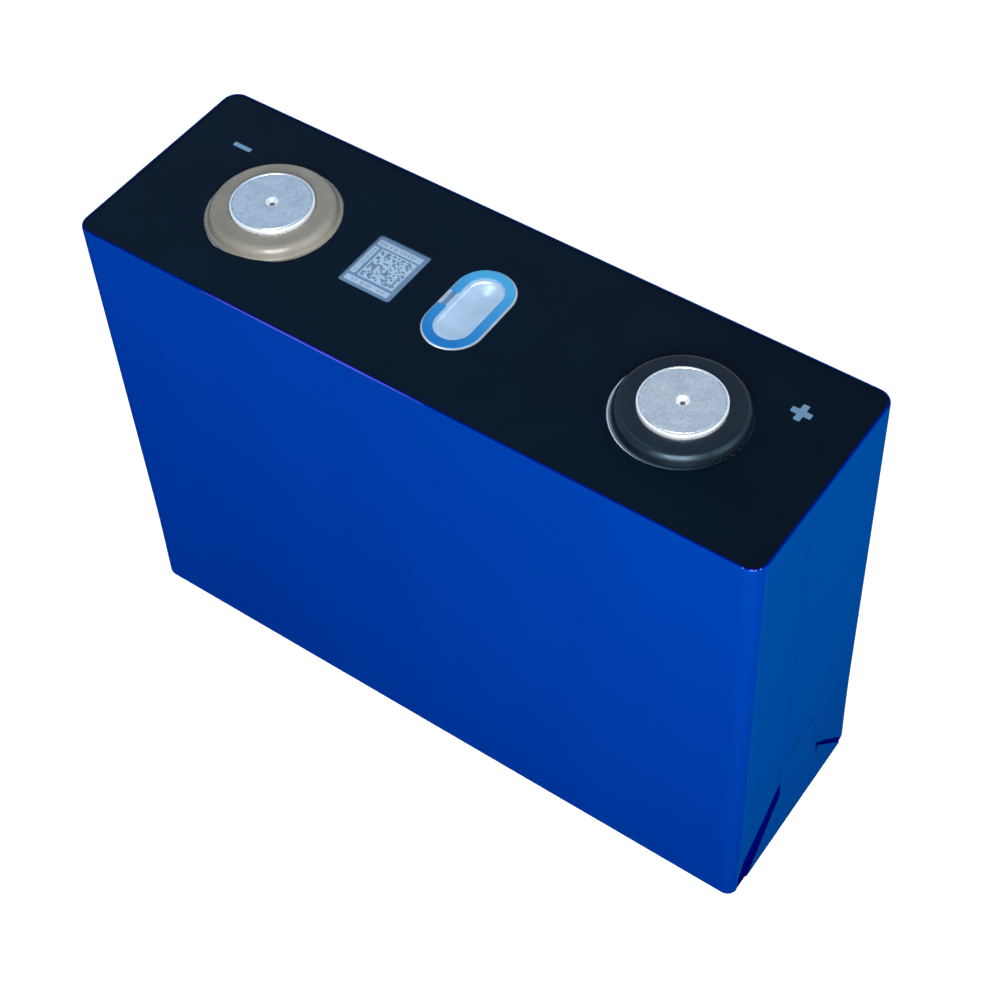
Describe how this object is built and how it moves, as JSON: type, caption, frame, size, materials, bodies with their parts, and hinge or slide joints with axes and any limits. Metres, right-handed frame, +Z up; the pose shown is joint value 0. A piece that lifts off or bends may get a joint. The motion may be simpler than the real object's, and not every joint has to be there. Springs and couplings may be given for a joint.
{
  "type": "prismatic battery cell",
  "caption": "Prismatic lithium iron phosphate cell: film-wrapped aluminium can with round weld terminals and a pressure vent between them.",
  "frame": {"origin": "centre of the bottom face, on the surface that the cell stands on", "axes": "+X along the width towards the positive terminal, +Y through the thickness away from the front face, +Z up"},
  "size_m": [0.16, 0.05, 0.119],
  "materials": {
    "wrap_film": "smooth satin blue polymer film",
    "top_film": "satin black polymer sheet",
    "aluminium": "rolled, satin",
    "terminal_aluminium": "machined, satin",
    "copper": "rolled copper",
    "adhesive": "blue adhesive, satin",
    "clear_film": "clear glossy film",
    "rubber": "matt",
    "black_plastic": "moulded, satin",
    "tan_plastic": "moulded, satin",
    "white_plastic": "moulded, satin",
    "electrode_roll": "coated foil roll, matt",
    "core_tape": "thin film tape"
  },
  "bodies": {
    "root": {"wrap_film": "wrap_film", "can": "aluminium", "cap_plate": "aluminium", "top_insulator_film": "top_film", "vent_disc": "aluminium", "vent_adhesive_ring": "adhesive", "vent_cover_film": "clear_film", "fill_plug": "rubber", "fill_seal_cap": "aluminium", "positive_terminal_post": "terminal_aluminium", "negative_terminal_disc": "terminal_aluminium", "negative_terminal_shank": "copper", "positive_insulator_ring": "black_plastic", "negative_insulator_ring": "tan_plastic", "positive_seal_ring": "rubber", "negative_seal_ring": "rubber", "positive_lower_insulator": "white_plastic", "negative_lower_insulator": "white_plastic", "positive_current_collector": "aluminium", "negative_current_collector": "copper", "front_core": "electrode_roll", "back_core": "electrode_roll", "front_positive_tab": "aluminium", "front_negative_tab": "copper", "back_positive_tab": "aluminium", "back_negative_tab": "copper", "front_core_tape": "core_tape", "back_core_tape": "core_tape", "core_bag": "white_plastic", "bottom_support_plate": "white_plastic"}
  },
  "joints": []
}
